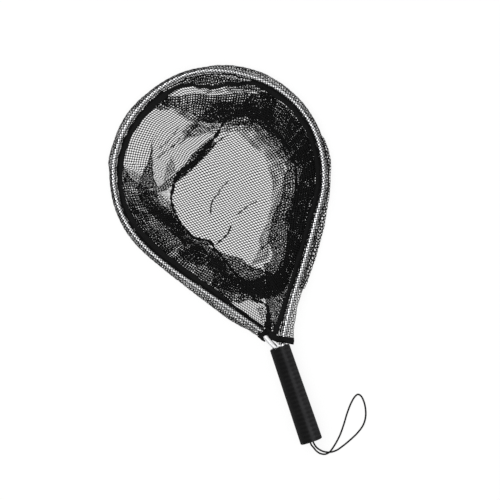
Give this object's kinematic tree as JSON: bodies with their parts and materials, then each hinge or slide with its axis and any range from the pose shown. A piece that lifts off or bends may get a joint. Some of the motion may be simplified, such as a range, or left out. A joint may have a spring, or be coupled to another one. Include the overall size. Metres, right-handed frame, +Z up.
{
  "type": "shrimp net",
  "caption": "Hand net with a teardrop tube hoop, a round foam grip with a wrist cord, and a dark fine-mesh bag that lies folded flat inside the hoop.",
  "frame": {"origin": "On the floor under the middle of the net, halfway along its length, with the grip's axis in the plane x = 0 and the wrist cord not counted", "axes": "+Y from the grip's butt to the tip of the hoop, +X to the right as seen from above, +Z up from the floor that the net lies on"},
  "size_m": [0.3111, 0.5703, 0.0315],
  "materials": {
    "aluminium": "polished drawn tube",
    "foam": "matt black foam with a fine knurl",
    "core_plastic": "dark moulded plastic",
    "plug_plastic": "black moulded plastic",
    "cord": "black braided cord",
    "knot": "black braided cord, knotted",
    "casing_net": "black fine netting round the tube",
    "tape": "black woven binding tape",
    "hem_left": "black woven hem",
    "hem_right": "black woven hem",
    "wall_net": "black fine netting, folded",
    "floor_net": "black fine netting, one layer",
    "floor_seam": "black bound seam",
    "side_seam": "black bound seam"
  },
  "bodies": {
    "root": {"hoop_tube": "aluminium", "grip": "foam", "handle_core": "core_plastic", "butt_plug": "plug_plastic", "lanyard": "cord", "lanyard_knot": "knot", "net_casing": "casing_net", "mouth_tape": "tape", "hem_left": "hem_left", "hem_right": "hem_right", "bag_wall": "wall_net", "bag_floor": "floor_net", "floor_seam": "floor_seam", "side_seam": "side_seam"}
  },
  "joints": []
}
